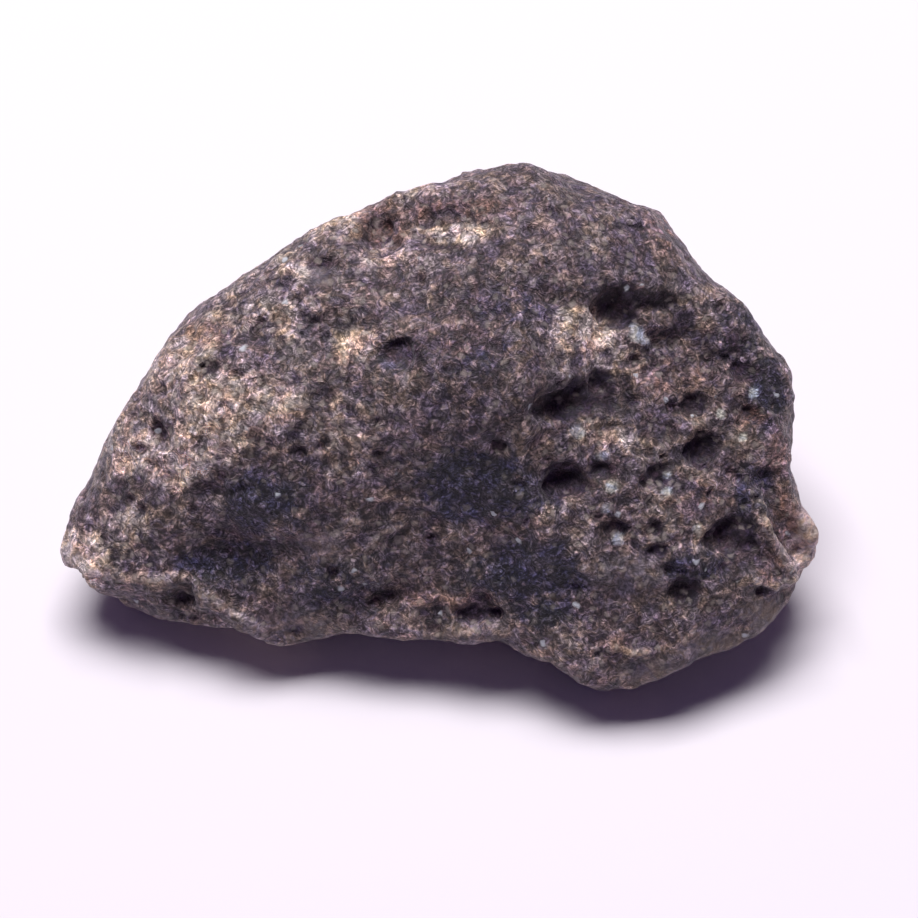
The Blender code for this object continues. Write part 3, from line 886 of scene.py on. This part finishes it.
# %% Darken and lighten the base by it
# Grain contrast is calmer in the painted shadow of the hollow middles.
WORN_CALM, QUARTZ_CALM, PAINTED_SHADOW_CALM = 0.55, 0.40, 0.35
SLATE_LIVELY = 0.30
contrast = subtract(1.0, times(mask_of("worn"), WORN_CALM))
contrast = subtract(contrast, times(mask_of("quartz"), QUARTZ_CALM))
contrast = add(contrast, times(mask_of("slate"), SLATE_LIVELY))
contrast = subtract(contrast, times(mask_of("painted_pit_shadow"), PAINTED_SHADOW_CALM))
brightness = maths("EXPONENT", times(shade_of_grain, contrast))
shade = node("ShaderNodeCombineColor")
for name in ("Red", "Green", "Blue"):
    feed(shade.inputs[name], brightness)
base = blend_colour(1.0, base, shade.outputs["Color"], "MULTIPLY")
print_nodes("shaded base")

# %% [markdown]
# ## Slow changes of colour
# The melt wasn't well mixed, so the skin drifts between cool and warm over a millimetre, and between lilac
# and olive over two. Multiplying by a colour close to white shifts the hue and hardly changes the
# brightness.

# %% Tint and stain
COOL = (0.90, 0.97, 1.10, 1)
WARM = (1.08, 1.02, 0.87, 1)
LILAC = (0.99, 0.96, 1.04, 1)
OLIVE = (1.01, 1.01, 0.93, 1)
tint_drift = grain_noise(ragged, size=0.85, roughness=0.7, distortion=0.8)
tint = blend_colour(ramp(tint_drift, 0.36, 0.64), COOL, WARM)
base = blend_colour(1.0, base, tint, "MULTIPLY")
stain_drift = grain_noise(millimetres, size=1.9, roughness=0.6)
stain = blend_colour(ramp(stain_drift, 0.40, 0.60), LILAC, OLIVE)
base = blend_colour(1.0, base, stain, "MULTIPLY")
print_nodes("tint and stain")

# %% [markdown]
# ## Pale and white grains
# Some sand grains are cream, and one in a hundred is white quartz. The second random grey of each cell
# picks them, more of them on the crust, and fading each towards its cell's edge keeps them apart.

# %% Pick pale and white grains
CREAM = (0.68, 0.59, 0.52, 1)
WHITE_ABOVE = 0.990
WHITE_SHARE = 0.75
grain_body = ramp(middle, 0.60, 0.20)
pale_limit = subtract(0.74, times(mask_of("crust"), 0.24))
pale = times(ramp(pick, pale_limit, add(pale_limit, 0.06)), grain_body)
pale_strength = add(0.22, times(mask_of("crust"), 0.22))
pale_strength = subtract(pale_strength, times(mask_of("slate"), 0.08))
base = blend_colour(times(pale, pale_strength), base, CREAM)
white = times(maths("GREATER_THAN", pick, WHITE_ABOVE), grain_body)
base = blend_colour(times(white, WHITE_SHARE), base, QUARTZ)
feed(shader.inputs["Base Color"], base)
print_nodes("pale and white grains")

# %% [markdown]
# ## Gloss and dust sheen
# Weathered glass is dull: rough, with weak highlights that differ from grain to grain. A thin film of dust
# lights up where the skin turns away, so a little sheen is added. Sheen and specular level are the same all
# over, so they are set on the shader itself.

# %% Set the gloss
feed(shader.inputs["Roughness"], ramp(tone, 0.0, 1.0, 0.50, 0.88))
shader.inputs["Specular IOR Level"].default_value = 0.3
shader.inputs["Sheen Weight"].default_value = 0.25
shader.inputs["Sheen Roughness"].default_value = 0.45
shader.inputs["Sheen Tint"].default_value = (1.0, 0.90, 1.0, 1)
print_nodes("gloss")

# %% [markdown]
# ## The finest relief
# Grains under a fifth of a millimetre are smaller than the skin's mesh can carry. A Bump node tilts the
# shading by the same patterns that colour the grains, so that a bright grain is also a raised one.

# %% Bump from the grain patterns
BUMP_DEPTH = 0.16 * MM
BUMP_STRENGTH = 0.8
height = add(swirls, times(add(fine, tone), 0.3))
height = times(height, contrast)
bump = node("ShaderNodeBump")
feed(bump.inputs["Height"], height)
feed(bump.inputs["Distance"], BUMP_DEPTH)
feed(bump.inputs["Strength"], BUMP_STRENGTH)
feed(shader.inputs["Normal"], bump.outputs["Normal"])
stone.data.materials.clear()
stone.data.materials.append(material)
print_nodes("finest relief")

# %% [markdown]
# ## Hand the skin over to the frame
# The fine skin stands for the plain solid, which stays in the physics. It rides on the one body and takes
# its finish from the one slot.

# %% Ride, replace, slot
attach(stone, "root")
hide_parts("impact_glass")
print(stone.name, "rides on the root and stands for impact_glass")

# %% [markdown]
# ## Floor
# The stone lies on a plain white table. A large plane will do, dull enough to show no reflection of the
# stone.

# %% White table
TABLE_WIDTH = 3.0
bpy.ops.mesh.primitive_plane_add(size=TABLE_WIDTH)
floor = bpy.context.object
floor.name = "floor"
TABLE_WHITE = (0.90, 0.865, 0.915, 1)
paint = bpy.data.materials.new("white table")
paint.use_nodes = True
paint.node_tree.nodes["Principled BSDF"].inputs["Base Color"].default_value = TABLE_WHITE
paint.node_tree.nodes["Principled BSDF"].inputs["Roughness"].default_value = 0.9
floor.data.materials.append(paint)
print("table:", round(floor.dimensions.x, 1), "m wide")

# %% [markdown]
# ## Light
# One wide, soft light stands high behind the stone, as a window would, so that the pits show their shaded
# upper walls. Its width blurs the ends of the shadow and leaves the front edge crisp. A faint cool sky
# fills the shadows.

# %% Window light
LIGHT_DISTANCE = 0.60
LIGHT_HEIGHT = math.radians(70)
LIGHT_SIDE = math.radians(-12)
WINDOW_WIDTH, WINDOW_DEPTH = 0.41, 0.25
WINDOW_WATTS = 4.68
WINDOW_COLOUR = (1.0, 0.965, 0.985)
middle_of_stone = Vector((0.0, 0.0, 0.008))
lamp = bpy.data.lights.new("window", "AREA")
lamp.shape = "RECTANGLE"
lamp.size = WINDOW_WIDTH
lamp.size_y = WINDOW_DEPTH
lamp.energy = WINDOW_WATTS
lamp.color = WINDOW_COLOUR
key = bpy.data.objects.new("window", lamp)
bpy.context.scene.collection.objects.link(key)
level = math.cos(LIGHT_HEIGHT)
direction = Vector((math.sin(LIGHT_SIDE) * level, math.cos(LIGHT_SIDE) * level, math.sin(LIGHT_HEIGHT)))
key.location = middle_of_stone + direction * LIGHT_DISTANCE
key.rotation_euler = (-direction).to_track_quat("-Z", "Y").to_euler()
print("light at:", [round(value, 3) for value in key.location])

# %% Faint cool sky
SKY = (0.60, 0.42, 0.95, 1)
SKY_STRENGTH = 0.08
world = bpy.data.worlds.new("cool sky")
world.use_nodes = True
world.node_tree.nodes["Background"].inputs["Color"].default_value = SKY
world.node_tree.nodes["Background"].inputs["Strength"].default_value = SKY_STRENGTH
bpy.context.scene.world = world
bpy.context.scene.view_settings.view_transform = "Standard"
print("view transform:", bpy.context.scene.view_settings.view_transform)

# %% [markdown]
# ## Camera
# The camera looks straight at the broad face from a short distance, as in a close-up. Its focal length
# follows from how many pixels a millimetre of the stone should cover.

# %% Close-up camera
PICTURE_PIXELS = 918
PIXELS_PER_MM = 18.1
CAMERA_DISTANCE = 0.18
CAMERA_HEIGHT = math.radians(60)
AIM = (1.0, -1.77, 0.0)  # on the face, in millimetres
lens = bpy.data.cameras.new("camera")
camera = bpy.data.objects.new("camera", lens)
bpy.context.scene.collection.objects.link(camera)
line_of_sight = Vector((0.0, math.cos(CAMERA_HEIGHT), -math.sin(CAMERA_HEIGHT)))
camera.location = face_to_world(*AIM) - line_of_sight * CAMERA_DISTANCE
camera.rotation_euler = line_of_sight.to_track_quat("-Z", "Y").to_euler()
lens.sensor_width = 36.0
lens.lens = lens.sensor_width * CAMERA_DISTANCE / (PICTURE_PIXELS / PIXELS_PER_MM * MM)
lens.clip_start = 0.01
bpy.context.scene.camera = camera
print("focal length:", round(lens.lens, 1), "mm")
